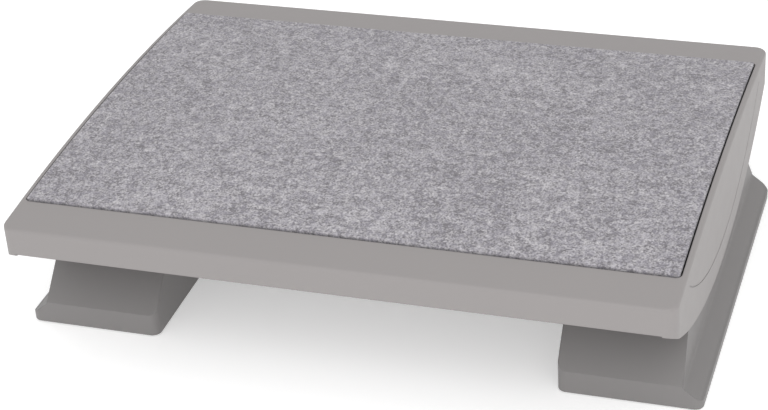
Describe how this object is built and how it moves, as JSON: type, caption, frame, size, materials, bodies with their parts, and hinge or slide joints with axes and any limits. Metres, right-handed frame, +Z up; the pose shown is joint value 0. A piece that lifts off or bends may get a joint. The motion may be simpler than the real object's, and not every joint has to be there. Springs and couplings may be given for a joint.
{
  "type": "rocking under desk footrest",
  "caption": "Low rocking under-desk footrest: cambered grey plastic platform with a felt mat, arc side skirts and rails that roll on rollers between two wide runner bases.",
  "frame": {"origin": "on the floor, under the middle of the platform", "axes": "+X to the user's right along the width, +Y away from the user (the front edge faces -Y), +Z up"},
  "size_m": [0.47, 0.35, 0.1109],
  "materials": {
    "grey_plastic": "warm light-grey moulded plastic, fine matt texture",
    "felt": "mottled grey needle felt",
    "black_rubber": "matt black rubber",
    "dark_plastic": "dark grey moulded plastic",
    "rail_nylon": "black glass-filled nylon",
    "roller_nylon": "natural nylon, turned",
    "bush_brass": "plain turned brass",
    "zinc_steel": "bright zinc-plated steel"
  },
  "bodies": {
    "base": {"base_plate_screws": "zinc_steel", "rod_clips": "zinc_steel", "roller_washers": "zinc_steel", "keeper_screws": "zinc_steel", "right_runner_shell": "grey_plastic", "right_base_plate": "dark_plastic", "right_floor_pads": "black_rubber", "right_keepers": "rail_nylon", "left_runner_shell": "grey_plastic", "left_base_plate": "dark_plastic", "left_floor_pads": "black_rubber", "left_keepers": "rail_nylon", "front_cross_rod": "zinc_steel", "rear_cross_rod": "zinc_steel"},
    "platform": {"platform_shell": "grey_plastic", "mat_backing": "black_rubber", "felt_mat": "felt", "rail_screws": "zinc_steel", "stop_buffers": "black_rubber", "right_arc_rail": "rail_nylon", "left_arc_rail": "rail_nylon"},
    "front_left_roller_set": {"front_left_roller": "roller_nylon", "front_left_bush": "bush_brass"},
    "front_right_roller_set": {"front_right_roller": "roller_nylon", "front_right_bush": "bush_brass"},
    "rear_left_roller_set": {"rear_left_roller": "roller_nylon", "rear_left_bush": "bush_brass"},
    "rear_right_roller_set": {"rear_right_roller": "roller_nylon", "rear_right_bush": "bush_brass"}
  },
  "joints": [
    {"name": "platform_rock", "type": "hinge", "parent": "base", "child": "platform", "pos_m": [0, 0, 0.375], "axis": [1, 0, 0], "range_deg": [-11, 11]},
    {"name": "front_left_roller_spin", "type": "hinge", "parent": "base", "child": "front_left_roller_set", "pos_m": [-0.18065, -0.06565, 0.05231], "axis": [1, 0, 0], "range_deg": [-300, 300]},
    {"name": "front_right_roller_spin", "type": "hinge", "parent": "base", "child": "front_right_roller_set", "pos_m": [0.18065, -0.06565, 0.05231], "axis": [1, 0, 0], "range_deg": [-300, 300]},
    {"name": "rear_left_roller_spin", "type": "hinge", "parent": "base", "child": "rear_left_roller_set", "pos_m": [-0.18065, 0.06565, 0.05231], "axis": [1, 0, 0], "range_deg": [-300, 300]},
    {"name": "rear_right_roller_spin", "type": "hinge", "parent": "base", "child": "rear_right_roller_set", "pos_m": [0.18065, 0.06565, 0.05231], "axis": [1, 0, 0], "range_deg": [-300, 300]}
  ],
  "couplings": [
    {"joint": "front_left_roller_spin", "follows": "platform_rock", "ratio": -26.417},
    {"joint": "front_right_roller_spin", "follows": "platform_rock", "ratio": -26.417},
    {"joint": "rear_left_roller_spin", "follows": "platform_rock", "ratio": -26.417},
    {"joint": "rear_right_roller_spin", "follows": "platform_rock", "ratio": -26.417}
  ]
}
